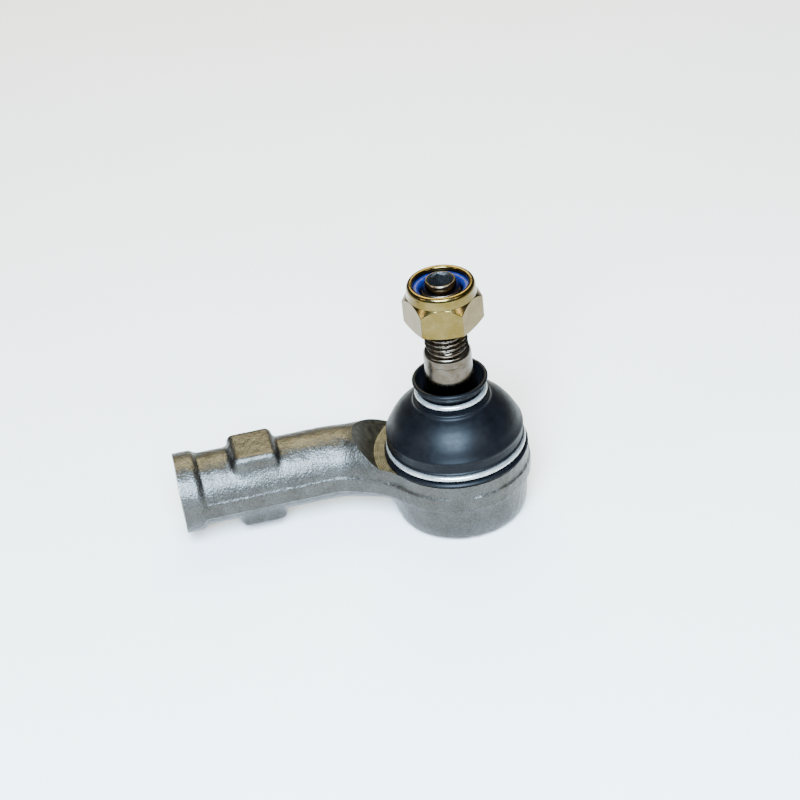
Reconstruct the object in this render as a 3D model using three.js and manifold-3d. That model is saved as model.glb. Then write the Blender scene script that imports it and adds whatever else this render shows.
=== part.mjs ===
// Outer tie rod end of a passenger car's steering.
// Millimetres. Origin: centre of the ball housing's underside. +Z runs up the ball stud,
// -X runs along the threaded shank towards the tie rod, and the neck cranks towards +Y.

import * as THREE from 'three';
import { mergeVertices } from 'three/addons/utils/BufferGeometryUtils.js';
import Module from 'manifold-3d';

const wasm = await Module();
wasm.setup();

// ---- driving dimensions ----

const GAP = 0.3;                     // left between neighbouring pieces

// Forged housing
const BODY_BOTTOM_R = 17.0;
const BODY_R = 19.4;                 // drafted wall just below the parting belt
const BELT_R = 20.4;                 // trimmed parting belt round the die line
const BELT_LOW_Z = 11.8;
const BELT_HIGH_Z = 16.0;
const SEAT_Z = 20.0;                 // machined flat that the boot stands on
const SEAT_R = 19.9;
const COLLAR_TOP_Z = 25.0;           // top of the turned collar that the boot grips
const COLLAR_R = 17.0;
const RELIEF_R = 23.4;               // where the flat seat ends and the relief cone starts

// Shank, which carries the internal thread
const SHANK_Z = 15.0;
const SHANK_Y = 11.3;                // sideways offset of the shank from the stud
const SHANK_R = 10.3;
const SHANK_END_X = -78.2;
const CRANK_DEG = 19.6;              // angle of the neck to the shank, seen from above
const CRANK_BEND_R = 32.0;
const NECK_START = 12.0;             // how far from the stud the neck's sweep begins
const BELT_HALF_WIDTH = 10.65;       // belt carried on along both sides of the shank
const FLARE_START = 36.0;            // the neck thickens upwards from here to the housing
const FLARE_START_R = 9.3;
const FLARE_END = 14.0;
const FLARE_END_R = 12.4;
const END_RING_R = 11.4;             // thickened ring round the threaded mouth
const END_RING_FLAT = 4.6;
const END_RING_LENGTH = 6.8;
const SHANK_BORE_R = 6.2;            // tapping bore of the M14x1.5 internal thread
const SHANK_BORE_DEPTH = 40.0;
const MOUTH_CHAMFER = 1.1;

// Spanner block on the shank
const BLOCK_X = -56.0;
const BLOCK_LENGTH = 12.8;
const BLOCK_WIDTH = 14.0;
const BLOCK_ACROSS_FLATS = 24.0;
const BLOCK_EDGE_R = 2.4;            // along the block
const BLOCK_END_ROUND = 1.8;         // round its two ends

// Ball stud
const BALL_Z = 14.0;
const BALL_R = 11.0;
const BALL_FLAT_Z = 4.4;
const NECK_R = 5.8;
const TAPER_LOW_Z = 36.0;
const TAPER_LOW_R = 7.2;             // 1:10 on diameter from here up
const TAPER_HIGH_Z = 50.0;
const TAPER_HIGH_R = 6.5;
const THREAD_LOW_Z = 54.0;
const THREAD_HIGH_Z = 72.6;
const THREAD_R = 5.85;               // M12x1.5, shown plain
const RELIEF_GROOVE_R = 5.1;
const TIP_Z = 75.2;
const TIP_R = 4.05;
const TIP_BASE_R = 4.9;
const SOCKET_AF = 6.0;               // hexagon socket in the stud's point
const SOCKET_DEPTH = 6.0;
const SOCKET_MOUTH_R = 3.72;

// Bearing, preload and cover
const BEARING_R = 13.7;
const SOCKET_SPHERE_R = BALL_R + GAP;
const COVER_R = 15.1;
const COVER_LOW_Z = 1.0;
const COVER_THICK = 1.3;
const ROLLED_LIP_R = 13.6;

// Boot and its rings
const RING_WIRE_R = 0.9;
const LOWER_RING_R = 18.85;          // centre line of the lower ring's wire
const LOWER_RING_Z = 22.5;
const UPPER_RING_R = 9.35;
const UPPER_RING_Z = 39.4;
const UPPER_RING_WIRE_R = 0.72;

// Self-locking nut
const NUT_Z = 62.0;
const NUT_AF = 19.0;
const NUT_HEIGHT = 12.4;
const NUT_HEX_HEIGHT = 9.0;
const NUT_CORNER_DROP = 2.1;         // how far the top chamfer cuts the corners down
const NUT_CORNER_DEG = -14.5;        // where the nut happens to stand on the stud
const NUT_BORE_R = THREAD_R + GAP;
const NUT_COLLAR_R = 9.4;
const NUT_LIP_R = 7.5;
const INSERT_R = 7.7;
const INSERT_LOW = 8.6;
const INSERT_HIGH = 11.0;

const SEGMENTS = 36;                 // around the stud axis, for inner and small pieces
const OUTER_SEGMENTS = 42;           // for the housing and the boot
const EPS = 1e-4;

// ---- materials ----

const metal = (color, roughness) => new THREE.MeshStandardMaterial({ color, roughness, metalness: 1.0 });
const plastic = (color, roughness) => new THREE.MeshStandardMaterial({ color, roughness, metalness: 0.0 });

const FORGED_STEEL = metal(0x8b8982, 0.55);
const POLISHED_STEEL = metal(0xb9b2a8, 0.18);
const COVER_STEEL = metal(0x9a9a98, 0.35);
const SPRING_STEEL = metal(0x6f747a, 0.3);
const RING_STEEL = metal(0xd9d8d2, 0.3);
const ZINC_PLATE = metal(0xcdb97c, 0.28);
const ACETAL = plastic(0xe9e6da, 0.45);
const BOOT_RUBBER = plastic(0x15171b, 0.5);
const BLUE_NYLON = plastic(0x23408f, 0.4);

// ---- geometry helpers ----

// A closed three.js geometry becomes a solid, once its seams are merged.
function solid(geometry) {
  geometry.deleteAttribute('normal');
  geometry.deleteAttribute('uv');
  const merged = mergeVertices(geometry, EPS);
  const corners = merged.index.array;
  const kept = [];
  for (let i = 0; i < corners.length; i += 3) {
    const [a, b, c] = [corners[i], corners[i + 1], corners[i + 2]];
    if (a !== b && b !== c && c !== a) kept.push(a, b, c);
  }
  const vertProperties = Float32Array.from(merged.attributes.position.array);
  if (signedVolume(vertProperties, kept) < 0) kept.reverse();
  const mesh = new wasm.Mesh({ numProp: 3, vertProperties, triVerts: Uint32Array.from(kept) });
  return new wasm.Manifold(mesh);
}

function signedVolume(xyz, triangles) {
  const corner = (k) => new THREE.Vector3().fromArray(xyz, 3 * k);
  let volume = 0;
  for (let i = 0; i < triangles.length; i += 3) {
    const [a, b, c] = [corner(triangles[i]), corner(triangles[i + 1]), corner(triangles[i + 2])];
    volume += a.dot(b.cross(c));
  }
  return volume;
}

function geometryOf(body) {
  const { vertProperties, triVerts } = body.getMesh();
  const geometry = new THREE.BufferGeometry();
  geometry.setAttribute('position', new THREE.BufferAttribute(Float32Array.from(vertProperties), 3));
  geometry.setIndex(new THREE.BufferAttribute(Uint32Array.from(triVerts), 1));
  geometry.computeVertexNormals();
  return geometry;
}

// Points of an arc in the (radius, height) plane, angles in degrees from the +radius direction.
function arc(centreR, centreZ, radius, fromDeg, toDeg, steps) {
  const points = [];
  for (let i = 0; i <= steps; i++) {
    const angle = THREE.MathUtils.degToRad(fromDeg + ((toDeg - fromDeg) * i) / steps);
    points.push([centreR + radius * Math.cos(angle), centreZ + radius * Math.sin(angle)]);
  }
  return points;
}

// Solid of revolution about +Z from an outline of [radius, height] points.
function turned(outline, segments = SEGMENTS) {
  const points = outline.map(([r, z]) => new THREE.Vector2(Math.max(r, 0), z));
  const onAxis = points[0].x === 0 && points.at(-1).x === 0;
  if (!onAxis) points.push(points[0].clone());
  return solid(new THREE.LatheGeometry(points, segments).rotateX(Math.PI / 2));
}

function hexagon(acrossFlats) {
  const cornerR = acrossFlats / Math.sqrt(3);
  const corners = [];
  for (let k = 0; k < 6; k++) {
    const angle = (k * Math.PI) / 3;
    corners.push(new THREE.Vector2(cornerR * Math.cos(angle), cornerR * Math.sin(angle)));
  }
  return new THREE.Shape(corners);
}

function prism(shape, lowZ, highZ) {
  const geometry = new THREE.ExtrudeGeometry(shape, { depth: highZ - lowZ, bevelEnabled: false });
  return solid(geometry.translate(0, 0, lowZ));
}

// Ring of round wire about +Z.
function wireRing(ringR, wireR, steps = 8) {
  return turned(arc(ringR, 0, wireR, 0, 360, steps).slice(0, -1));
}

// ---- housing ----

// Centre line of the neck and shank, seen from above: straight neck, round crank, straight shank.
class CrankedLine extends THREE.Curve {
  constructor(startDistance, endX) {
    super();
    const angle = THREE.MathUtils.degToRad(CRANK_DEG);
    const tangentLength = CRANK_BEND_R * Math.tan(angle / 2);
    const kinkX = -SHANK_Y / Math.tan(angle);
    this.angle = angle;
    this.bendX = kinkX - tangentLength;
    this.neckDirection = new THREE.Vector3(-Math.cos(angle), Math.sin(angle), 0);
    this.neckStart = this.neckDirection.clone().multiplyScalar(startDistance);
    this.neckLength = SHANK_Y / Math.sin(angle) - tangentLength - startDistance;
    this.bendLength = CRANK_BEND_R * angle;
    this.shankLength = this.bendX - endX;
    this.total = this.neckLength + this.bendLength + this.shankLength;
  }

  getPoint(t, target = new THREE.Vector3()) {
    const s = t * this.total;
    if (s <= this.neckLength) {
      return target.copy(this.neckStart).addScaledVector(this.neckDirection, s);
    }
    if (s <= this.neckLength + this.bendLength) {
      const turnedBy = this.angle - (s - this.neckLength) / CRANK_BEND_R;
      const x = this.bendX + CRANK_BEND_R * Math.sin(turnedBy);
      const y = SHANK_Y - CRANK_BEND_R * (1 - Math.cos(turnedBy));
      return target.set(x, y, 0);
    }
    return target.set(this.bendX - (s - this.neckLength - this.bendLength), SHANK_Y, 0);
  }
}

function sweep(shape, path, steps) {
  const options = { steps, extrudePath: path, bevelEnabled: false, curveSegments: 16 };
  return solid(new THREE.ExtrudeGeometry(shape, options));
}

// Turned about the shank's own axis, outline in [radius, x] with x measured from the mouth.
function turnedOnShank(outline, segments = 32) {
  const points = outline.map(([r, x]) => new THREE.Vector2(r, x));
  const geometry = new THREE.LatheGeometry(points, segments).rotateZ(-Math.PI / 2);
  return solid(geometry.translate(SHANK_END_X, SHANK_Y, SHANK_Z));
}

function housingBody() {
  return turned([
    [0, 0], [BODY_BOTTOM_R, 0], [17.8, 0.5], [18.5, 1.6], [18.9, 3.4],
    [BODY_R, BELT_LOW_Z - 0.1], [BELT_R - 0.5, BELT_LOW_Z + 0.3], [BELT_R, BELT_HIGH_Z - 1.2],
    [BELT_R - 0.1, BELT_HIGH_Z], [SEAT_R, SEAT_Z], [COLLAR_R, SEAT_Z], [COLLAR_R, COLLAR_TOP_Z],
    [0, COLLAR_TOP_Z],
  ], OUTER_SEGMENTS);
}

function shankBar() {
  const round = new THREE.Shape().absarc(0, 0, SHANK_R, 0, 2 * Math.PI, false);
  const path = new CrankedLine(NECK_START, SHANK_END_X + END_RING_FLAT);
  return sweep(round, path, 20).translate([0, 0, SHANK_Z]);
}

// The neck's thickening keeps its underside level with the shank's.
function neckFlare() {
  const direction = new CrankedLine(0, SHANK_END_X).neckDirection;
  const thin = direction.clone().multiplyScalar(FLARE_START).setZ(SHANK_Z + FLARE_START_R - SHANK_R);
  const thick = direction.clone().multiplyScalar(FLARE_END).setZ(SHANK_Z + FLARE_END_R - SHANK_R);
  const along = thick.clone().sub(thin);
  const geometry = new THREE.CylinderGeometry(FLARE_END_R, FLARE_START_R, along.length(), 32);
  const turn = new THREE.Quaternion().setFromUnitVectors(new THREE.Vector3(0, 1, 0), along.normalize());
  const middle = thin.add(thick).multiplyScalar(0.5);
  return solid(geometry.applyQuaternion(turn).translate(middle.x, middle.y, middle.z));
}

function sideBelt() {
  const half = (BELT_HIGH_Z - BELT_LOW_Z) / 2;
  const ribbon = new THREE.Shape([
    new THREE.Vector2(-half, -BELT_HALF_WIDTH), new THREE.Vector2(half, -BELT_HALF_WIDTH),
    new THREE.Vector2(half, BELT_HALF_WIDTH), new THREE.Vector2(-half, BELT_HALF_WIDTH),
  ]);
  const path = new CrankedLine(NECK_START, SHANK_END_X + END_RING_FLAT);
  return sweep(ribbon, path, 20).translate([0, 0, BELT_LOW_Z + half]);
}

function endRing() {
  return turnedOnShank([
    [0, 0], [END_RING_R - 0.4, 0], [END_RING_R, 0.5], [END_RING_R, END_RING_FLAT],
    [END_RING_R - 0.4, END_RING_FLAT + 1.1], [SHANK_R - 0.2, END_RING_LENGTH], [0, END_RING_LENGTH],
  ]);
}

function spannerBlock() {
  const w = BLOCK_WIDTH / 2 - BLOCK_EDGE_R;
  const h = BLOCK_ACROSS_FLATS / 2 - BLOCK_EDGE_R;
  const outline = new THREE.Shape();
  outline.absarc(h, w, BLOCK_EDGE_R, 0, Math.PI / 2, false);
  outline.absarc(-h, w, BLOCK_EDGE_R, Math.PI / 2, Math.PI, false);
  outline.absarc(-h, -w, BLOCK_EDGE_R, Math.PI, 1.5 * Math.PI, false);
  outline.absarc(h, -w, BLOCK_EDGE_R, 1.5 * Math.PI, 2 * Math.PI, false);
  const options = {
    depth: BLOCK_LENGTH - 2 * BLOCK_END_ROUND, curveSegments: 4, bevelEnabled: true,
    bevelThickness: BLOCK_END_ROUND, bevelSize: BLOCK_END_ROUND, bevelOffset: -BLOCK_END_ROUND,
    bevelSegments: 3,
  };
  const geometry = new THREE.ExtrudeGeometry(outline, options).rotateY(Math.PI / 2);
  const startX = BLOCK_X - BLOCK_LENGTH / 2 + BLOCK_END_ROUND;
  return solid(geometry.translate(startX, SHANK_Y, SHANK_Z));
}

// Everything the lathe takes off above the boot seat, with the groove that the boot's bead grips.
function bootSeatCut() {
  const top = SHANK_Z + SHANK_R + 5;
  return turned([
    [0, COLLAR_TOP_Z], [COLLAR_R - 0.5, COLLAR_TOP_Z], [COLLAR_R, COLLAR_TOP_Z - 0.5],
    [COLLAR_R, 23.7], [COLLAR_R - 0.8, 23.3], [COLLAR_R - 0.8, 21.2], [COLLAR_R, 20.8],
    [COLLAR_R, SEAT_Z], [RELIEF_R, SEAT_Z], [RELIEF_R + top - SEAT_Z, top], [0, top],
  ], OUTER_SEGMENTS);
}

// Bore for the bearing, its sloped ceiling, the flared opening for the stud, and the rolled lip.
function ballCavity() {
  const boreR = BEARING_R + GAP;
  const below = -1;
  const coverTop = COVER_LOW_Z + COVER_THICK + GAP;
  return turned([
    [0, below], [ROLLED_LIP_R, below], [ROLLED_LIP_R, COVER_LOW_Z - GAP],
    [COVER_R + GAP, COVER_LOW_Z - GAP], [COVER_R + GAP, coverTop], [boreR, coverTop],
    [boreR, 18.6], [10.6, 20.4], [13.0, COLLAR_TOP_Z], [13.6, COLLAR_TOP_Z + 1], [0, COLLAR_TOP_Z + 1],
  ]);
}

function shankBore() {
  return turnedOnShank([
    [0, -1], [SHANK_BORE_R + MOUTH_CHAMFER + 1, -1], [SHANK_BORE_R, MOUTH_CHAMFER],
    [SHANK_BORE_R, SHANK_BORE_DEPTH], [0, SHANK_BORE_DEPTH + SHANK_BORE_R / Math.sqrt(3)],
  ], 32);
}

function housing() {
  return housingBody().add(shankBar()).add(neckFlare()).add(sideBelt()).add(endRing()).add(spannerBlock())
    .subtract(bootSeatCut()).subtract(ballCavity()).subtract(shankBore());
}

// ---- ball stud ----

function ballStud() {
  const flatAngle = THREE.MathUtils.radToDeg(Math.asin((BALL_FLAT_Z - BALL_Z) / BALL_R));
  const neckAngle = THREE.MathUtils.radToDeg(Math.acos(NECK_R / BALL_R));
  const pin = turned([
    [0, BALL_FLAT_Z], ...arc(0, BALL_Z, BALL_R, flatAngle, neckAngle, 12),
    [NECK_R, 24.6], [NECK_R, 28.5], [6.3, 31.2], [7.0, 33.4], [TAPER_LOW_R, 35.0],
    [TAPER_LOW_R, TAPER_LOW_Z], [TAPER_HIGH_R, TAPER_HIGH_Z], [TAPER_HIGH_R - 0.06, 52.2],
    [6.1, 52.9], [5.5, 53.2], [RELIEF_GROOVE_R, 53.4], [RELIEF_GROOVE_R, 53.8],
    [THREAD_R, THREAD_LOW_Z + 0.5], [THREAD_R, THREAD_HIGH_Z - 1.0], [TIP_BASE_R, THREAD_HIGH_Z],
    [TIP_R, TIP_Z], [0, TIP_Z],
  ]);
  const socket = prism(hexagon(SOCKET_AF), TIP_Z - SOCKET_DEPTH, TIP_Z + 1);
  const mouth = turned([
    [0, TIP_Z - 1.2], [2.6, TIP_Z - 1.2], [SOCKET_MOUTH_R, TIP_Z], [SOCKET_MOUTH_R, TIP_Z + 1], [0, TIP_Z + 1],
  ]);
  return pin.subtract(socket).subtract(mouth);
}

// ---- bearing, spring and cover ----

function upperShell() {
  const low = BALL_Z + GAP / 2;
  const high = 19.6;
  const angleAt = (z) => THREE.MathUtils.radToDeg(Math.asin((z - BALL_Z) / SOCKET_SPHERE_R));
  const inner = arc(0, BALL_Z, SOCKET_SPHERE_R, angleAt(high), angleAt(low), 6);
  return turned([[BEARING_R, low], [BEARING_R, 18.35], [10.5, 20.05], ...inner]);
}

function lowerShell() {
  const low = 3.9;
  const high = BALL_Z - GAP / 2;
  const holeR = 6.6;
  const angleAt = (z) => THREE.MathUtils.radToDeg(Math.asin((z - BALL_Z) / SOCKET_SPHERE_R));
  const holeZ = BALL_Z - Math.sqrt(SOCKET_SPHERE_R ** 2 - holeR ** 2);
  const inner = arc(0, BALL_Z, SOCKET_SPHERE_R, angleAt(high), angleAt(holeZ), 8);
  return turned([[holeR, low], [11.6, low], [BEARING_R, 6.2], [BEARING_R, high], ...inner]);
}

// Dished spring washer: its outer edge stands on the cover and its inner edge lifts the lower shell.
function preloadSpring() {
  return turned([[13.2, 2.6], [13.2, 2.9], [7.6, 3.6], [7.6, 3.2]]);
}

// Pressed plate whose dished middle is level with the rolled rim.
function coverPlate() {
  const top = COVER_LOW_Z + COVER_THICK;
  return turned([
    [0, 0], [8.0, 0], [9.6, COVER_LOW_Z], [COVER_R, COVER_LOW_Z],
    [COVER_R, top], [9.0, top], [7.4, COVER_THICK], [0, COVER_THICK],
  ]);
}

// ---- boot ----

// The outline runs up the outside, past the recessed band and the dome, over the rim, and back
// down the inside to the bead.
function boot() {
  return turned([
    [17.3, 20.3], [20.2, 20.3], [20.3, 21.0], [19.7, 21.4], [17.75, 21.6], [17.75, 23.4],
    [19.1, 23.6], [19.4, 24.1], [18.95, 24.5], [18.8, 26.6], [19.25, 27.0], [19.2, 27.6],
    [18.55, 28.8], [17.6, 30.6], [16.3, 32.6], [14.4, 34.5], [12.5, 35.9], [11.0, 36.8],
    [10.75, 37.6], [9.4, 37.95], [8.35, 38.4], [8.35, 40.4],
    [9.5, 41.4], [10.55, 43.0], [10.5, 43.7], [9.6, 43.9], [8.6, 41.9], [7.45, 40.4],
    [7.4, 37.0], [8.8, 35.8], [11.6, 34.2], [14.0, 32.4], [15.7, 30.4], [16.9, 28.0],
    [17.3, 25.9], [17.3, 24.0],
  ], OUTER_SEGMENTS);
}

// ---- nut ----

function nut() {
  const cornerR = NUT_AF / Math.sqrt(3);
  const hexBody = prism(hexagon(NUT_AF), 0, NUT_HEX_HEIGHT);
  const faceR = NUT_AF / 2;
  const chamfers = turned([
    [0, 0], [faceR - 0.15, 0], [cornerR + 0.1, 0.6], [cornerR + 0.1, NUT_HEX_HEIGHT - NUT_CORNER_DROP],
    [faceR, NUT_HEX_HEIGHT - 0.1], [faceR, NUT_HEX_HEIGHT], [0, NUT_HEX_HEIGHT],
  ]);
  const collar = turned([
    [0, NUT_HEX_HEIGHT - 1.5], [NUT_COLLAR_R - 0.3, NUT_HEX_HEIGHT - 1.5], [NUT_COLLAR_R, NUT_HEX_HEIGHT + 0.6],
    ...arc(NUT_COLLAR_R - 1.6, NUT_HEIGHT - 1.6, 1.6, 15, 90, 4),
    [NUT_LIP_R, NUT_HEIGHT - 0.4], [0, NUT_HEIGHT - 0.4],
  ]);
  const bore = turned([
    [0, -1], [NUT_BORE_R + 0.6, -1], [NUT_BORE_R + 0.6, 0], [NUT_BORE_R, 0.6], [NUT_BORE_R, INSERT_LOW - GAP],
    [INSERT_R + GAP, INSERT_LOW - GAP], [INSERT_R + GAP, INSERT_HIGH + GAP],
    [NUT_LIP_R, INSERT_HIGH + GAP], [NUT_LIP_R, NUT_HEIGHT + 1], [0, NUT_HEIGHT + 1],
  ]);
  return hexBody.intersect(chamfers).add(collar).subtract(bore);
}

function nutInsert() {
  return turned([
    [NUT_BORE_R, INSERT_LOW], [INSERT_R, INSERT_LOW], [INSERT_R, INSERT_HIGH], [6.3, INSERT_HIGH],
    [NUT_BORE_R, INSERT_HIGH - 0.5],
  ]);
}

// ---- assembly ----

function piece(name, body, material, z = 0) {
  const mesh = new THREE.Mesh(geometryOf(body), material);
  mesh.name = name;
  mesh.position.z = z;
  return mesh;
}

const housingGroup = new THREE.Group();
housingGroup.add(
  piece('housing', housing(), FORGED_STEEL),
  piece('upper_bearing_shell', upperShell(), ACETAL),
  piece('lower_bearing_shell', lowerShell(), ACETAL),
  piece('preload_spring', preloadSpring(), SPRING_STEEL),
  piece('cover_plate', coverPlate(), COVER_STEEL),
);

const bootGroup = new THREE.Group();
bootGroup.add(
  piece('boot', boot(), BOOT_RUBBER),
  piece('boot_ring_lower', wireRing(LOWER_RING_R, RING_WIRE_R), RING_STEEL, LOWER_RING_Z),
  piece('boot_ring_upper', wireRing(UPPER_RING_R, UPPER_RING_WIRE_R), RING_STEEL, UPPER_RING_Z),
);

const nutGroup = new THREE.Group();
nutGroup.position.z = NUT_Z;
nutGroup.rotation.z = THREE.MathUtils.degToRad(NUT_CORNER_DEG);
nutGroup.add(
  piece('nut', nut(), ZINC_PLATE),
  piece('nut_insert', nutInsert(), BLUE_NYLON),
);

const studGroup = new THREE.Group();
studGroup.add(piece('ball_stud', ballStud(), POLISHED_STEEL), nutGroup);

const tieRodEnd = new THREE.Group();
tieRodEnd.add(housingGroup, bootGroup, studGroup);

export default tieRodEnd;
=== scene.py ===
import math

import bpy
import numpy as np
from mathutils import Matrix, Vector


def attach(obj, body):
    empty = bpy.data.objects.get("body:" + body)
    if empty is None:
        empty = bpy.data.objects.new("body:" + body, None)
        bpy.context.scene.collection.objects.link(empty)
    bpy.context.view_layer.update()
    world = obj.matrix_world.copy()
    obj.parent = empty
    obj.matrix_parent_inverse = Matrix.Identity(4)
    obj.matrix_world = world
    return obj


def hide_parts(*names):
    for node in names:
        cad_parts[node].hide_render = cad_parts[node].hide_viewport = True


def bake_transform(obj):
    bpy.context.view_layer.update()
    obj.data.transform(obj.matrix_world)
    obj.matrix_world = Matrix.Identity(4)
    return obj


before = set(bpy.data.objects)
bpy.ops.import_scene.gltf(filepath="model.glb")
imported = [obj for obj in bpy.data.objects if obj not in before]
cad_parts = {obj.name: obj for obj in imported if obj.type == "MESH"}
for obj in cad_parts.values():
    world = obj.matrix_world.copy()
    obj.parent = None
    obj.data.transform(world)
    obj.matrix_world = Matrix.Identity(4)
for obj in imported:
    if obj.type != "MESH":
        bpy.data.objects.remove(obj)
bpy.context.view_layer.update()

# Everything below is in millimetres and is scaled on its way into a mesh.
MM = 0.001

# ---- shared dimensions ----

PIVOT_Z = 14.0
SHANK_Y, SHANK_Z, SHANK_R = 11.3, 15.0, 10.3
SHANK_END_X = -78.2
CRANK = math.radians(19.6)
CRANK_BEND_R = 32.0
BELT_LOW_Z, BELT_HIGH_Z = 11.8, 16.0
GROUND_FLAT_R, GROUND_FLAT_ANGLE = 20.12, math.radians(-101.0)
RELIEF_R = 23.4
THREAD_PITCH = 1.5
STUD_THREAD_START, STUD_THREAD_END = 54.0, 72.6
STUD_TIP_Z = 75.2
SHANK_THREAD_R, SHANK_TAPPING_R, SHANK_THREAD_DEPTH = 7.02, 6.2, 38.0
BLOCK_X, BLOCK_HALF = -56.0, (6.5, 7.1, 12.0)
NUT_Z, NUT_AF, NUT_HEX_HEIGHT = 62.0, 19.0, 9.0
NUT_CORNER = math.radians(-14.5)


# ---- outline helpers ----

def rounded(points, closed=False, steps=5):
    """Outline with every corner given a third value, its fillet's length, drawn as a smooth bend."""
    out = []
    count = len(points)
    for i, point in enumerate(points):
        here = np.array(point[:2], float)
        fillet = point[2] if len(point) > 2 else 0.0
        if not fillet or (not closed and i in (0, count - 1)):
            out.append(here)
            continue
        before = np.array(points[i - 1][:2], float) - here
        after = np.array(points[(i + 1) % count][:2], float) - here
        reach = min(fillet, 0.45 * np.linalg.norm(before), 0.45 * np.linalg.norm(after))
        start = here + before / np.linalg.norm(before) * reach
        end = here + after / np.linalg.norm(after) * reach
        for t in np.linspace(0, 1, steps):
            out.append((1 - t) ** 2 * start + 2 * t * (1 - t) * here + t**2 * end)
    return np.array(out)


def resampled(outline, step):
    """The same outline with no two neighbours further apart than step."""
    out = [outline[0]]
    for a, b in zip(outline[:-1], outline[1:]):
        pieces = max(1, math.ceil(np.linalg.norm(b - a) / step))
        out.extend(a + (b - a) * k / pieces for k in range(1, pieces + 1))
    return np.array(out)


def arc(centre_r, centre_z, radius, from_deg, to_deg, steps):
    angles = np.radians(np.linspace(from_deg, to_deg, steps))
    return [(centre_r + radius * math.cos(a), centre_z + radius * math.sin(a)) for a in angles]


# ---- mesh helpers ----

def add_object(name, vertices, faces, finishes, sharp_deg=38.0):
    mesh = bpy.data.meshes.new(name)
    mesh.from_pydata((np.asarray(vertices) * MM).tolist(), [], faces)
    mesh.validate()
    mesh.update()
    for finish in finishes:
        mesh.materials.append(finish)
    mesh.shade_smooth()
    mesh.set_sharp_from_angle(angle=math.radians(sharp_deg))
    obj = bpy.data.objects.new(name, mesh)
    bpy.context.scene.collection.objects.link(obj)
    return obj


def add_turned_grid(name, radius, height, finishes, closed=False, **options):
    """Surface from rows of radius and height round +Z; rows on the axis close to one point."""
    rows, segments = radius.shape
    angle = turning_angles(segments)
    vertices, row_start = [], []
    for row in range(rows):
        row_start.append(len(vertices))
        if radius[row].max() < 1e-6:
            vertices.append((0.0, 0.0, height[row].mean()))
        else:
            vertices.extend(
                zip(radius[row] * np.cos(angle), radius[row] * np.sin(angle), height[row])
            )
    row_start.append(len(vertices))
    faces = []
    for row in range(rows if closed else rows - 1):
        nxt = (row + 1) % rows
        low, high = row_start[row], row_start[nxt]
        low_point = row_start[row + 1] - low == 1
        high_point = row_start[nxt + 1] - high == 1
        for k in range(segments):
            j = (k + 1) % segments
            if low_point and high_point:
                continue
            if low_point:
                faces.append((low, high + j, high + k))
            elif high_point:
                faces.append((low + k, low + j, high))
            else:
                faces.append((low + k, low + j, high + j, high + k))
    return add_object(name, vertices, faces, finishes, **options)


def turning_angles(segments):
    return np.arange(segments) * 2 * math.pi / segments


def add_turned(name, outline, finishes, segments=180, closed=False, step=0.6, **options):
    if closed:
        outline = np.vstack([outline, outline[:1]])
    outline = resampled(outline, step)
    if closed:
        outline = outline[:-1]
    radius, height = (repeated(column, segments) for column in outline.T)
    return add_turned_grid(name, radius, height, finishes, closed, **options)


def thread_radius(angle, height, major, minor, start):
    """Right-hand 60 degree thread with a flat crest and a flat root."""
    phase = (height - start) / THREAD_PITCH - angle / (2 * math.pi)
    rise = 1 - np.abs(2 * (phase - np.floor(phase)) - 1)
    return minor + (major - minor) * np.clip(rise * 1.3 - 0.18, 0, 1)


def repeated(values, segments):
    """Rows of a turned grid from one value each."""
    return np.repeat(np.asarray(values, float)[:, None], segments, axis=1)


def lay_along_shank(obj):
    """Turn a piece made about +Z so that its axis runs into the shank from the mouth."""
    obj.data.transform(
        Matrix.Translation(Vector((SHANK_END_X, SHANK_Y, SHANK_Z)) * MM)
        @ Matrix.Rotation(math.radians(90), 4, "Y")
    )


def subtract(obj, tool):
    cut = obj.modifiers.new("cut", "BOOLEAN")
    cut.operation, cut.solver, cut.object = "DIFFERENCE", "MANIFOLD", tool
    evaluated = obj.evaluated_get(bpy.context.evaluated_depsgraph_get())
    mesh = bpy.data.meshes.new_from_object(evaluated)
    obj.modifiers.clear()
    obj.data = mesh
    bpy.data.objects.remove(tool)


# ---- finishes ----

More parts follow.
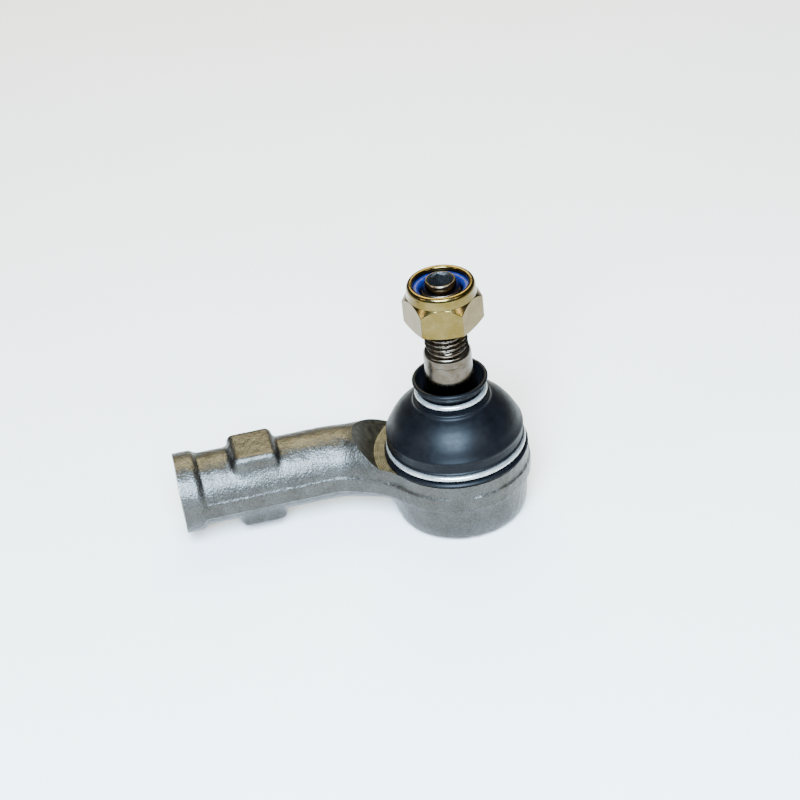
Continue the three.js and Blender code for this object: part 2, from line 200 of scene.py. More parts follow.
class Finish:
    """A Principled material painted in the object's own coordinates, with sizes given in millimetres."""

    def __init__(self, name, metallic, specular=0.5):
        self.material = bpy.data.materials.new(name)
        self.material.use_nodes = True
        self.tree = self.material.node_tree
        self.shader = self.tree.nodes["Principled BSDF"]
        self.shader.inputs["Metallic"].default_value = metallic
        self.shader.inputs["Specular IOR Level"].default_value = specular
        self.place = self.tree.nodes.new("ShaderNodeTexCoord").outputs["Object"]

    def node(self, kind, **inputs):
        made = self.tree.nodes.new(kind)
        for key, value in inputs.items():
            made.inputs[key].default_value = value
        return made

    def stretched(self, x, y, z):
        mapping = self.node("ShaderNodeMapping", Scale=(x, y, z))
        self.tree.links.new(self.place, mapping.inputs["Vector"])
        return mapping.outputs["Vector"]

    def noise(self, grain_mm, detail=3.0, roughness=0.55, place=None):
        made = self.node("ShaderNodeTexNoise", Scale=1 / (grain_mm * MM), Detail=detail, Roughness=roughness)
        self.tree.links.new(place or self.place, made.inputs["Vector"])
        return made.outputs["Fac"]

    def lathe_marks(self, feed_mm):
        """Rings cut by a tool fed outwards and upwards at the same rate."""
        split = self.node("ShaderNodeSeparateXYZ")
        self.tree.links.new(self.place, split.inputs[0])
        flat = self.node("ShaderNodeCombineXYZ")
        self.tree.links.new(split.outputs["X"], flat.inputs["X"])
        self.tree.links.new(split.outputs["Y"], flat.inputs["Y"])
        length = self.node("ShaderNodeVectorMath")
        length.operation = "LENGTH"
        self.tree.links.new(flat.outputs[0], length.inputs[0])
        along = self.math("ADD", length.outputs["Value"], split.outputs["Z"])
        return self.math("SINE", self.math("MULTIPLY", along, 2 * math.pi / (feed_mm * MM)))

    def math(self, operation, a, b=None):
        made = self.node("ShaderNodeMath")
        made.operation = operation
        for socket, value in zip(made.inputs, (a, b)):
            if value is None:
                continue
            if isinstance(value, (int, float)):
                socket.default_value = value
            else:
                self.tree.links.new(value, socket)
        return made.outputs[0]

    def between(self, fac, low, high, start=0.3, end=0.7):
        made = self.node("ShaderNodeMapRange", **{
            "From Min": start, "From Max": end, "To Min": low, "To Max": high})
        self.tree.links.new(fac, made.inputs["Value"])
        return made.outputs["Result"]

    def ramp(self, fac, *stops):
        made = self.node("ShaderNodeValToRGB")
        elements = made.color_ramp.elements
        while len(elements) < len(stops):
            elements.new(0.5)
        for element, (position, color) in zip(elements, stops):
            element.position, element.color = position, (*color, 1.0)
        self.tree.links.new(fac, made.inputs["Fac"])
        return made.outputs["Color"]

    def mixed(self, fac, a, b, blend="MIX"):
        made = self.node("ShaderNodeMix")
        made.data_type, made.blend_type = "RGBA", blend
        for socket, value in zip((made.inputs[0], made.inputs[6], made.inputs[7]), (fac, a, b)):
            if isinstance(value, (int, float)):
                socket.default_value = value
            elif isinstance(value, tuple):
                socket.default_value = (*value, 1.0)
            else:
                self.tree.links.new(value, socket)
        return made.outputs[2]

    def color(self, socket):
        self.tree.links.new(socket, self.shader.inputs["Base Color"])

    def roughness(self, socket):
        self.tree.links.new(socket, self.shader.inputs["Roughness"])

    def bumps(self, *layers):
        """Layers of (height, depth in mm, strength), the finest last."""
        normal = None
        for height, depth_mm, strength in layers:
            made = self.node("ShaderNodeBump", Distance=depth_mm * MM, Strength=strength)
            self.tree.links.new(height, made.inputs["Height"])
            if normal:
                self.tree.links.new(normal, made.inputs["Normal"])
            normal = made.outputs["Normal"]
        self.tree.links.new(normal, self.shader.inputs["Normal"])


def forged_steel():
    """Shot-blasted forging with a thin film of oil: fine sparkling peening over soft scale patches."""
    f = Finish("forged_steel", metallic=1.0)
    patches = f.ramp(f.noise(6.0, 4.0), (0.3, (0.052, 0.047, 0.041)), (0.7, (0.076, 0.072, 0.067)))
    grains = f.ramp(f.noise(0.5, 3.0), (0.36, (0.72, 0.71, 0.69)), (0.64, (1.25, 1.25, 1.25)))
    steel = f.mixed(0.8, patches, grains, "MULTIPLY")
    f.color(f.mixed(f.between(f.noise(2.0, 5.0, 0.7), 0.0, 0.7, 0.66, 0.74), steel, (0.045, 0.024, 0.012)))
    f.roughness(f.between(f.noise(0.9, 2.0), 0.34, 0.46))
    f.bumps(
        (f.noise(2.6, 3.0), 0.08, 0.5),
        (f.noise(0.8, 2.0), 0.15, 0.9),
        (f.noise(0.4, 2.0), 0.06, 0.8),
    )
    return f.material


def turned_steel():
    """Lathe-cut surfaces of the forging, with rings left by the tool and a little staining."""
    f = Finish("turned_steel", metallic=1.0)
    f.color(f.ramp(f.noise(1.5, 4.0), (0.3, (0.038, 0.036, 0.029)), (0.7, (0.095, 0.090, 0.077))))
    f.roughness(f.between(f.noise(0.5), 0.28, 0.46))
    f.bumps((f.noise(1.2, 2.0), 0.05, 0.5), (f.lathe_marks(0.55), 0.04, 0.6), (f.noise(0.3, 2.0), 0.02, 0.4))
    return f.material


def threaded_steel():
    """Freshly cut thread and faced mouth, brighter than the skin of the forging."""
    f = Finish("threaded_steel", metallic=1.0)
    f.color(f.ramp(f.noise(0.8), (0.3, (0.1, 0.095, 0.09)), (0.7, (0.24, 0.23, 0.22))))
    f.roughness(f.between(f.noise(0.3), 0.25, 0.45))
    f.bumps((f.noise(0.15, 2.0), 0.015, 0.4),)
    return f.material


def polished_steel():
    """Ground and burnished stud: faint rings round it and a film of oil."""
    f = Finish("polished_steel", metallic=1.0)
    rings = f.noise(1.0, 3.0, place=f.stretched(0.04, 0.04, 5.0))
    f.color(f.ramp(f.noise(2.4, 4.0), (0.3, (0.055, 0.038, 0.023)), (0.7, (0.095, 0.079, 0.062))))
    f.roughness(f.between(rings, 0.16, 0.28))
    f.bumps((rings, 0.01, 0.35), (f.noise(0.35, 2.0), 0.006, 0.3))
    f.shader.inputs["Anisotropic"].default_value = 0.8
    tangent = f.node("ShaderNodeTangent")
    tangent.direction_type, tangent.axis = "RADIAL", "Z"
    f.tree.links.new(tangent.outputs[0], f.shader.inputs["Tangent"])
    return f.material


def stud_socket_painted_shade():
    """Inside of the hexagon socket, broached, with its colour painted dark as painted shade for the deep recess."""
    f = Finish("stud_socket_painted_shade", metallic=0.9)
    # Painted shade: the base colour is kept far darker than the stud's steel, so the recess reads shaded.
    f.color(f.ramp(f.noise(0.5), (0.3, (0.008, 0.008, 0.009)), (0.7, (0.045, 0.043, 0.04))))
    f.roughness(f.between(f.noise(0.4), 0.35, 0.65))
    f.bumps((f.noise(0.3, 3.0), 0.08, 0.7),)
    return f.material


def zinc_plate():
    """Yellow-passivated zinc: pale gold, clouded, with fine specks where the film is thin."""
    f = Finish("zinc_plate", metallic=1.0)
    clouds = f.ramp(f.noise(3.5, 3.0), (0.3, (0.100, 0.066, 0.015)), (0.7, (0.135, 0.097, 0.034)))
    specks = f.ramp(f.noise(0.3, 2.0), (0.33, (0.45, 0.46, 0.5)), (0.45, (1.0, 1.0, 1.0)))
    f.color(f.mixed(0.6, clouds, specks, "MULTIPLY"))
    f.roughness(f.between(f.noise(0.8), 0.14, 0.26))
    f.bumps((f.noise(2.5, 2.0), 0.05, 0.35), (f.noise(0.3, 2.0), 0.015, 0.4))
    return f.material


def blue_nylon():
    """Dyed moulded nylon, slightly translucent."""
    f = Finish("blue_nylon", metallic=0.0, specular=0.25)
    f.color(f.ramp(f.noise(1.2), (0.3, (0.001, 0.004, 0.040)), (0.7, (0.004, 0.011, 0.085))))
    f.roughness(f.between(f.noise(0.6), 0.28, 0.45))
    f.bumps((f.noise(0.5, 2.0), 0.03, 0.35),)
    f.shader.inputs["Subsurface Weight"].default_value = 0.05
    return f.material


def boot_rubber():
    """Moulded black rubber with a satin skin, slightly mottled."""
    f = Finish("boot_rubber", metallic=0.0, specular=0.11)
    f.color(f.ramp(f.noise(4.0, 4.0), (0.3, (0.0007, 0.0007, 0.0012)), (0.7, (0.0018, 0.0019, 0.0028))))
    f.roughness(f.between(f.noise(1.6, 4.0), 0.36, 0.48))
    f.bumps((f.noise(3.0, 2.0), 0.06, 0.35), (f.noise(0.4, 3.0), 0.02, 0.45))
    return f.material


def ring_steel():
    """Bright drawn spring wire."""
    f = Finish("ring_steel", metallic=0.75)
    f.color(f.ramp(f.noise(1.2), (0.3, (0.34, 0.33, 0.31)), (0.7, (0.5, 0.49, 0.47))))
    f.roughness(f.between(f.noise(1.4), 0.2, 0.3))
    f.bumps((f.noise(1.2, 2.0), 0.012, 0.3),)
    return f.material


def cover_steel():
    """Pressed sheet, rolled smooth."""
    f = Finish("cover_steel", metallic=1.0)
    f.color(f.ramp(f.noise(2.5), (0.3, (0.30, 0.30, 0.29)), (0.7, (0.46, 0.46, 0.45))))
    f.roughness(f.between(f.noise(0.7), 0.26, 0.42))
    f.bumps((f.noise(0.35, 2.0), 0.015, 0.4),)
    return f.material


def spring_steel():
    """Blued spring strip."""
    f = Finish("spring_steel", metallic=1.0)
    f.color(f.ramp(f.noise(1.5), (0.3, (0.10, 0.11, 0.13)), (0.7, (0.19, 0.20, 0.22))))
    f.roughness(f.between(f.noise(0.6), 0.22, 0.38))
    f.bumps((f.noise(0.4, 2.0), 0.012, 0.35),)
    return f.material


def acetal():
    """Natural white bearing plastic."""
    f = Finish("acetal", metallic=0.0)
    f.color(f.ramp(f.noise(3.0), (0.3, (0.66, 0.64, 0.57)), (0.7, (0.78, 0.76, 0.70))))
    f.roughness(f.between(f.noise(0.8), 0.36, 0.5))
    f.bumps((f.noise(0.6, 2.0), 0.015, 0.3),)
    return f.material


FORGED, TURNED, THREADED = forged_steel(), turned_steel(), threaded_steel()
POLISHED, SOCKET_PAINTED_SHADE = polished_steel(), stud_socket_painted_shade()
ZINC, NYLON, RUBBER = zinc_plate(), blue_nylon(), boot_rubber()
RING, COVER, SPRING, ACETAL = ring_steel(), cover_steel(), spring_steel(), acetal()


# ---- distance fields for the forging ----

def smooth_union(a, b, reach):
    """Union of two fields with a fillet about reach wide."""
    h = np.maximum(reach - np.abs(a - b), 0) / reach
    return np.minimum(a, b) - h * h * reach / 4


def polygon_distance(r, z, outline):
    """Signed distance to a closed outline, negative inside."""
    nearest = np.full(r.shape, np.inf)
    inside = np.zeros(r.shape, bool)
    for (ar, az), (br, bz) in zip(outline, np.roll(outline, -1, axis=0)):
        er, ez = br - ar, bz - az
        t = np.clip(((r - ar) * er + (z - az) * ez) / (er * er + ez * ez), 0, 1)
        nearest = np.minimum(nearest, (r - ar - t * er) ** 2 + (z - az - t * ez) ** 2)
        if az != bz:
            crosses = (az > z) != (bz > z)
            inside ^= crosses & (r < er * (z - az) / ez + ar)
    return np.where(inside, -1, 1) * np.sqrt(nearest)


def crank_line():
    """Centre line of neck and shank from the stud axis out past the shank's mouth, with distances along it."""
    tangent = CRANK_BEND_R * math.tan(CRANK / 2)
    bend_x = -SHANK_Y / math.tan(CRANK) - tangent
    turned_by = np.linspace(CRANK, 0, 24)
    bend = np.stack([
        bend_x + CRANK_BEND_R * np.sin(turned_by),
        SHANK_Y - CRANK_BEND_R * (1 - np.cos(turned_by)),
    ], axis=1)
    line = np.vstack([[0.0, 0.0], bend, [SHANK_END_X - 10, SHANK_Y]])
    along = np.concatenate([[0], np.cumsum(np.linalg.norm(np.diff(line, axis=0), axis=1))])
    return line, along


def line_distance(x, y):
    """Distance in plan from the centre line, and how far along the line the nearest point is."""
    line, along = crank_line()
    nearest, where = np.full(x.shape, np.inf), np.zeros(x.shape)
    for k in range(len(line) - 1):
        a, e = line[k], line[k + 1] - line[k]
        t = np.clip(((x - a[0]) * e[0] + (y - a[1]) * e[1]) / (e @ e), 0, 1)
        d = np.hypot(x - a[0] - t * e[0], y - a[1] - t * e[1])
        closer = d < nearest
        nearest = np.where(closer, d, nearest)
        where = np.where(closer, along[k] + t * (along[k + 1] - along[k]), where)
    return nearest, where


def soft_box(x, y, z, half, corner):
    """Signed distance to a box with rounded corners, from its half sizes."""
    qx, qy, qz = (np.abs(v) - (h - corner) for v, h in zip((x, y, z), half))
    outside = np.sqrt(np.maximum(qx, 0) ** 2 + np.maximum(qy, 0) ** 2 + np.maximum(qz, 0) ** 2)
    return outside + np.minimum(np.maximum(qx, np.maximum(qy, qz)), 0) - corner


def forging_field(x, y, z):
    """Signed distance to the forging before any machining."""
    r = np.hypot(x, y)
    head = polygon_distance(r, z, rounded([
        (0, 0), (17.0, 0, 0.8), (18.3, 1.2, 1.5), (18.9, 3.6, 2), (19.4, 11.6), (19.8, 13.0),
        (20.05, 16.5, 1), (19.88, 21.0), (17.8, 21.4), (17.8, 25.6), (0, 25.6),
    ]))

    # The bar swells where it runs into the head.
    across, along = line_distance(x[:, :, :1], y[:, :, :1])
    rising = np.clip((34.0 - along) / 24.0, 0, 1)
    swell = 2.6 * rising**2 * (3 - 2 * rising)
    bar_r, bar_z = SHANK_R + swell, SHANK_Z + swell
    bar = np.hypot(across, z - bar_z) - bar_r
    body = smooth_union(head, bar, 3.2)

    # A low belt at the parting line runs round the head and along the bar.
    belt_plan = smooth_union(r[:, :, :1] - 20.4, across - (bar_r + 0.05), 5.0)
    belt_half = (BELT_HIGH_Z - BELT_LOW_Z) / 2
    belt_edge = np.abs(z - BELT_LOW_Z - belt_half) - belt_half
    belt = np.maximum(belt_plan, belt_edge)
    body = smooth_union(body, belt, 1.3)

    # One side of the head has a flat ground on it.
    ground = x * math.cos(GROUND_FLAT_ANGLE) + y * math.sin(GROUND_FLAT_ANGLE) - GROUND_FLAT_R
    body = np.maximum(body, ground)

    block = soft_box(x - BLOCK_X, y - SHANK_Y, z - SHANK_Z, BLOCK_HALF, 2.0)
    body = smooth_union(body, block, 1.5)

    rho = np.hypot(y - SHANK_Y, z - SHANK_Z)
    ring = polygon_distance(rho, x - SHANK_END_X, rounded([
        (0, -3), (11.4, -3), (11.4, 4.9, 1.5), (10.5, 6.2, 0.3), (9.4, 6.4), (0, 6.4),
    ]))
    body = smooth_union(body, ring, 0.5)

    waves = (
        np.sin(0.9 * x + 1.3 * y) * np.sin(0.8 * z - 0.5 * x)
        + 0.6 * np.sin(1.9 * y - 1.1 * z + 2) * np.sin(1.7 * x + 0.9)
    )
    return np.maximum(body + 0.045 * waves, SHANK_END_X - 1.5 - x)


def sampled(field, place, origin, pitch):
    """Trilinear value of the field at each point."""
    grid = np.clip((place - origin) / pitch, 0, np.array(field.shape) - 1.001)
    low = grid.astype(int)
    f = grid - low
    total = np.zeros(len(place))
    for dx in (0, 1):
        for dy in (0, 1):
            for dz in (0, 1):
                weight = (
                    (f[:, 0] if dx else 1 - f[:, 0])
                    * (f[:, 1] if dy else 1 - f[:, 1])
                    * (f[:, 2] if dz else 1 - f[:, 2])
                )
                total += weight * field[low[:, 0] + dx, low[:, 1] + dy, low[:, 2] + dz]
    return total


def skin_of(field, origin, pitch):
    """Quads along the field's zero level, one corner in each cell that the level passes through."""
    inside = field < 0
    corners = [(dx, dy, dz) for dx in (0, 1) for dy in (0, 1) for dz in (0, 1)]
    shape = np.array(field.shape) - 1

    def cell_view(array, offset):
        return array[tuple(slice(o, o + n) for o, n in zip(offset, shape))]

    count = sum(cell_view(inside, c).astype(np.int8) for c in corners)
    cells = np.argwhere((count > 0) & (count < 8))
    total, crossings = np.zeros((len(cells), 3)), np.zeros(len(cells))
    for a in corners:
        for axis in range(3):
            if a[axis]:
                continue
            b = tuple(1 if k == axis else v for k, v in enumerate(a))
            fa = cell_view(field, a)[tuple(cells.T)]
            fb = cell_view(field, b)[tuple(cells.T)]
            crossing = (fa < 0) != (fb < 0)
            t = np.where(crossing, fa / np.where(crossing, fa - fb, 1), 0)
            point = np.array(a, float) + t[:, None] * np.eye(3)[axis]
            total += np.where(crossing[:, None], point, 0)
            crossings += crossing
    vertices = origin + (cells + total / crossings[:, None]) * pitch
    number = np.full(tuple(shape), -1, np.int64)
    number[tuple(cells.T)] = np.arange(len(cells))

    faces = []
    for axis in range(3):
        u, v = (axis + 1) % 3, (axis + 2) % 3
        step = np.eye(3, dtype=int)
        first = inside[tuple(slice(0, -1) if k == axis else slice(1, -1) for k in range(3))]
        second = inside[tuple(slice(1, None) if k == axis else slice(1, -1) for k in range(3))]
        edges = np.argwhere(first != second)
        outward = first[tuple(edges.T)]
        base = edges + (1 - step[axis])
        ring = [base - step[u] - step[v], base - step[v], base, base - step[u]]
        quads = np.stack([number[tuple(corner.T)] for corner in ring], axis=1)
        faces.append(np.where(outward[:, None], quads, quads[:, ::-1]))
    return vertices, np.vstack(faces)


# ---- housing ----

# What the lathe takes away: the cavity from below, the opening, the collar's outside, the seat and the relief.
TURNED_AWAY = rounded([
    (0, -3), (13.6, -3), (13.6, 0.7, 0.3), (15.4, 0.7, 0.1), (15.4, 2.6), (14.0, 2.6, 0.2),
    (14.0, 18.6, 0.3), (10.6, 20.4, 0.4), (13.0, 25.0, 0.3), (16.8, 25.0, 0.4), (17.0, 24.4, 0.2),
    (17.0, 23.5, 0.2), (16.2, 23.2, 0.2), (16.2, 21.3, 0.2), (17.0, 21.0, 0.2), (17.0, 20.0, 0.3),
    (RELIEF_R, 20.0, 0.25), (RELIEF_R + 14, 34.0), (0, 34.0),
], steps=4)


def add_shank_tool(name, outline, segments=96):
    tool = add_turned(name, np.array(outline, float), [], segments, step=100)
    lay_along_shank(tool)
    return tool


def add_housing():
    pitch = 0.42
    low, high = np.array([-83.0, -23.0, -1.5]), np.array([23.0, 25.5, 33.0])
    axes = [np.arange(a, b, pitch) for a, b in zip(low, high)]
    x, y, z = np.meshgrid(*axes, indexing="ij")
    field = forging_field(x, y, z)
    vertices, faces = skin_of(field, low, pitch)
    for _ in range(2):  # pull the corners onto the field's zero level
        value = sampled(field, vertices, low, pitch)
        slope = np.stack([
            (sampled(field, vertices + d, low, pitch) - sampled(field, vertices - d, low, pitch)) / pitch
            for d in np.eye(3) * pitch / 2
        ], axis=1)
        vertices = vertices - slope * (value / np.maximum((slope**2).sum(1), 0.2))[:, None]
    obj = add_object("housing_forging", vertices, faces.tolist(), [FORGED, TURNED, THREADED])

    subtract(obj, add_turned("head_tool", TURNED_AWAY, [], 240, step=100))
    subtract(obj, add_shank_tool("mouth_tool", [
        (0, -8), (14, -8), (14, 0), (8.3, 0), (7.1, 1.15), (7.1, 40.0), (0, 43.5),
    ]))
    mark_turned_faces(obj)
    obj.data.shade_smooth()
    obj.data.set_sharp_from_angle(angle=math.radians(32))
    return obj


def mark_turned_faces(obj):
    """Give the cut faces their own finishes: 1 is turned, 2 is threaded, and the rest stay forged."""
    centres = np.array([p.center for p in obj.data.polygons]) / MM
    r, z = np.hypot(centres[:, 0], centres[:, 1]), centres[:, 2]
    on_head = np.abs(polygon_distance(r, z, TURNED_AWAY)) < 0.02
    rho = np.hypot(centres[:, 1] - SHANK_Y, z - SHANK_Z)
    on_mouth = (centres[:, 0] < SHANK_END_X + 0.02) | ((rho < 8.4) & (centres[:, 0] < SHANK_END_X + 44))
    on_rolled_rim = (r < 16.8) & (z < 0.1)
    finish = np.where(on_mouth, 2, np.where(on_head | on_rolled_rim, 1, 0))
    obj.data.polygons.foreach_set("material_index", finish.astype(np.int32))


def add_shank_thread():
    """Internal M14x1.5 thread, a tube lining the shank's bore."""
    segments = 120
    mouth = 1.3
    depth = np.arange(mouth, SHANK_THREAD_DEPTH, THREAD_PITCH / 12)
    angle = turning_angles(segments)[None, :]
    radius = thread_radius(angle, depth[:, None], SHANK_THREAD_R, SHANK_TAPPING_R, 0.0)
    radius = np.maximum(radius, 7.0 - 1.2 * np.maximum(depth[:, None] - mouth, 0))
    back = np.full((1, segments), 7.08)
    radius = np.vstack([back, radius, back])
    height = repeated(np.concatenate([[mouth], depth, [SHANK_THREAD_DEPTH]]), segments)
    obj = add_turned_grid("shank_thread", radius, height, [THREADED], sharp_deg=60)
    obj.data.flip_normals()
    lay_along_shank(obj)
    return obj


# ---- ball stud ----

def add_stud():
    """Ball, neck, taper and thread; the taper ends in a lead-in band with an edge left uneven by the tool."""
    segments = 240
    shank = rounded([
        (0, 4.4), (5.37, 4.4, 0.3), *arc(0, PIVOT_Z, 11.0, -60.2, 58.2, 60), (5.8, 24.6, 0.5),
        (5.8, 28.5, 1), (6.3, 31.2, 1), (7.0, 33.4, 0.7), (7.2, 35.0, 0.5), (7.2, 36.0, 0.3), (6.5, 50.0),
        (6.44, 52.15, 0.25), (6.05, 52.95, 0.3), (5.5, 53.2, 0.2), (5.1, 53.45, 0.2), (5.1, 53.8),
    ])
    shank = resampled(shank, 0.45)
    fine = np.arange(48.6, 51.6, 0.12)
    below = np.vstack([
        shank[shank[:, 1] < 48.5],
        np.stack([np.interp(fine, shank[:, 1], shank[:, 0]), fine], axis=1),
        shank[shank[:, 1] > 51.6],
    ])
    angle = turning_angles(segments)[None, :]
    edge = 50.1 + 0.35 * np.sin(3 * angle + 1) + 0.22 * np.sin(8 * angle) + 0.14 * np.sin(19 * angle + 2)
    above = below[:, 1:] - edge
    taper = below[:, :1] + np.where(
        below[:, 1:] > 48, 0.12 / (1 + np.exp(-above / 0.15)) + 0.07 * np.exp(-((above / 0.35) ** 2)), 0.0)
    rows = np.arange(53.85, STUD_THREAD_END, THREAD_PITCH / 14)[:, None]
    limit = np.minimum(5.1 + 1.1 * np.maximum(rows - 53.9, 0), 4.9 + 1.0 * (STUD_THREAD_END - rows))
    thread = np.minimum(thread_radius(angle, rows, 5.97, 5.12, STUD_THREAD_START), limit)

    cone = resampled(rounded(
        [(4.9, 72.6), (4.2, 74.8, 0.2), (3.95, STUD_TIP_Z, 0.15), (3.8, STUD_TIP_Z)], steps=4), 0.3)
    hexagon = 3.0 / np.cos((angle + math.pi / 6) % (math.pi / 3) - math.pi / 6)
    inner_z = STUD_TIP_Z - np.concatenate([np.linspace(0, 1.4, 12), np.linspace(1.6, 6, 12)])
    mouth = 3.72 - 0.95 * (STUD_TIP_Z - inner_z[:, None])
    inner = np.maximum(hexagon, mouth)
    floor_r = np.array([0.6, 0.2, 0.0])[:, None] * hexagon
    floor_z = STUD_TIP_Z - np.array([6.3, 6.6, 6.8])

    radius = np.vstack([taper, thread, repeated(cone[:, 0], segments), inner, floor_r])
    heights = np.concatenate([below[:, 1], rows[:, 0], cone[:, 1], inner_z, floor_z])
    obj = add_turned_grid("stud_pin", radius, repeated(heights, segments), [POLISHED, SOCKET_PAINTED_SHADE], sharp_deg=50)
    # Faces inside the socket get the finish with the painted shade.
    in_socket = [
        int(p.center.z > 68 * MM and math.hypot(p.center.x, p.center.y) < 3.7 * MM)
        for p in obj.data.polygons
    ]
    obj.data.polygons.foreach_set("material_index", in_socket)
    return obj


# ---- nut and insert ----

def add_nut():
    segments = 288
    angle = turning_angles(segments)[None, :]
    across = (angle - NUT_CORNER + math.pi / 6) % (math.pi / 3) - math.pi / 6
    to_face = math.pi / 6 - np.abs(across)
    hexagon = np.minimum(NUT_AF / 2 / np.cos(to_face), NUT_AF / math.sqrt(3) - 0.05)

    z = np.concatenate([
        np.linspace(0, 0.8, 12), np.arange(0.9, 6.6, 0.25), np.arange(6.7, NUT_HEX_HEIGHT, 0.08)])
    chamfer_low = 9.2 + 2.6 * z[:, None]
    chamfer_high = 9.5 + 0.735 * (NUT_HEX_HEIGHT - 0.1 - z[:, None])
    outer = np.minimum(np.minimum(hexagon, chamfer_low), chamfer_high)

    lip = resampled(rounded([
        (9.45, 9.0), (9.4, 9.5, 0.4), (9.3, 10.6, 0.4), (9.35, 11.3, 0.6), (9.0, 12.15, 0.7),
        (8.3, 12.45, 0.6), (7.6, 12.2, 0.4), (7.45, 11.7, 0.3), (7.55, 11.1, 0.2), (7.7, 10.9),
        (7.7, 8.6), (6.3, 8.4),
    ]), 0.3)
    thread_z = np.arange(8.35, 0.05, -THREAD_PITCH / 12)
    thread = thread_radius(angle, thread_z[:, None] + NUT_Z, 6.08, 5.26, STUD_THREAD_START)
    entry = np.maximum(6.35 - 0.9 * thread_z[:, None], 6.3 - 0.9 * (8.35 - thread_z[:, None]))
    thread = np.maximum(thread, entry)

    washer = repeated([6.5, 9.1], segments)
    radius = np.vstack([washer, outer, repeated(lip[:, 0], segments), thread])
    heights = np.concatenate([[0.0, 0.0], z, lip[:, 1], thread_z]) + NUT_Z
    return add_turned_grid(
        "nut_body", radius, repeated(heights, segments), [ZINC], closed=True, sharp_deg=40)


def add_insert():
    return add_turned("nut_insert_ring", rounded([
        (6.02, 70.7, 0.2), (7.6, 70.7, 0.1), (7.6, 72.9, 0.2), (7.2, 72.95, 0.3), (6.5, 72.95, 0.4),
        (6.02, 72.5, 0.4),
    ], closed=True), [NYLON], 160, closed=True, step=0.3)


# ---- boot ----

BOOT_SPLIT_Z = 31.0
BOOT_OUTSIDE = [
    (17.3, 20.3, 0.2), (20.0, 20.3, 0.3), (20.3, 20.75, 0.3), (19.7, 21.35, 0.3), (18.1, 21.55, 0.5),
    (17.8, 22.5, 0.6), (18.1, 23.45, 0.5), (19.1, 23.6, 0.25), (19.4, 24.1, 0.3), (18.95, 24.5, 0.3),
    (18.8, 26.6, 0.3), (19.25, 27.0, 0.2), (19.2, 27.6, 0.3), (18.55, 28.7, 0.8), (17.6, 30.6, 1.2),
]
BOOT_DOME = [
    (16.2, 32.7, 1.2), (14.4, 34.5, 1.1), (12.5, 35.9, 1.1), (11.0, 36.75, 0.4), (10.75, 37.6, 0.35),
    (9.4, 37.95, 0.3), (8.5, 38.5, 0.4), (8.35, 39.4, 0.5), (8.7, 40.5, 0.6), (9.6, 41.6, 0.7),
    (10.4, 42.8, 0.4), (10.55, 43.4, 0.3), (10.1, 43.85, 0.3), (9.5, 43.8, 0.3), (8.6, 41.9, 0.8), (7.45, 40.3, 0.6),
    (7.4, 37.0, 0.8), (8.8, 35.8, 0.9), (11.6, 34.2, 1.2), (14.0, 32.4, 1.2),
]
BOOT_INSIDE = [
    (15.7, 30.4, 1.2), (16.9, 28.0, 1.1), (17.3, 25.9, 0.6), (17.3, 24.0, 0.3), (16.5, 23.4, 0.3),
    (16.5, 21.4, 0.3), (17.3, 21.0, 0.3),
]


def boot_outlines():
    """The closed section is cut at the split height into the lower wall and the upper dome."""
    whole = resampled(rounded(BOOT_OUTSIDE + BOOT_DOME + BOOT_INSIDE, closed=True), 0.3)
    crossings = [
        k for k in range(len(whole) - 1) if (whole[k, 1] - BOOT_SPLIT_Z) * (whole[k + 1, 1] - BOOT_SPLIT_Z) < 0
    ]
    cut_points = []
    for k in crossings:
        t = (BOOT_SPLIT_Z - whole[k, 1]) / (whole[k + 1, 1] - whole[k, 1])
        cut_points.append(whole[k] + t * (whole[k + 1] - whole[k]))
    first, last = crossings
    upper = np.vstack([cut_points[:1], whole[first + 1:last + 1], cut_points[1:]])
    lower = np.vstack([cut_points[1:], whole[last + 1:], whole[:first + 1], cut_points[:1]])
    return lower, upper


def add_boot():
    """Two halves, the lower wall and the upper dome, cut apart at the split height."""
    segments = 240
    lower, upper = boot_outlines()
    wall = add_turned("boot_wall", lower, [RUBBER], segments, step=0.4, sharp_deg=60)
    dome = add_turned("boot_dome", upper, [RUBBER], segments, step=0.4, sharp_deg=60)
    return wall, dome


# ---- rings, cover, bearing ----

def add_wire_ring(name, ring_r, centre_z, wire_r, gap_mm, gap_deg):
    """Spring wire ring, cut through at one place, with rounded ends."""
    around = 16
    half_gap = gap_mm / 2 / ring_r
    middle = math.radians(gap_deg)
    body = np.linspace(middle + half_gap, middle + 2 * math.pi - half_gap, 180)
    end = wire_r * 0.5
    shrink = np.array([0.0, 0.6, 0.87, 0.97])
    lead = np.array([1.0, 0.8, 0.5, 0.2]) * end / ring_r
    angles = np.concatenate([body[0] - lead, body, (body[-1] + lead)[::-1]])
    sizes = np.concatenate([shrink, np.ones(len(body)), shrink[::-1]]) * wire_r
    section = turning_angles(around)
    r = ring_r + sizes[:, None] * np.cos(section)
    vertices = np.stack([
        r * np.cos(angles[:, None]), r * np.sin(angles[:, None]), centre_z + sizes[:, None] * np.sin(section)
    ], axis=-1).reshape(-1, 3)
    faces = [
        (i * around + k, i * around + (k + 1) % around, (i + 1) * around + (k + 1) % around, (i + 1) * around + k)
        for i in range(len(angles) - 1) for k in range(around)
    ]
    return add_object(name, vertices, [f[::-1] for f in faces], [RING])


def add_cover():
    return add_turned("cover_pressing", rounded([
        (0, 0.0), (7.9, 0.0, 0.8), (9.6, 1.0, 0.8), (15.0, 1.0, 0.2), (15.1, 2.3, 0.2), (9.0, 2.3, 0.8),
        (7.4, 1.3, 0.8), (0, 1.3),
    ]), [COVER], 160)


def add_upper_shell():
    ball = arc(0, PIVOT_Z, 11.3, 29.7, 0.8, 16)
    return add_turned("upper_bearing", rounded(
        [(13.7, 14.15, 0.2), (13.7, 18.35, 0.3), (10.5, 20.05, 0.3)] + ball, closed=True),
        [ACETAL], 120, closed=True)


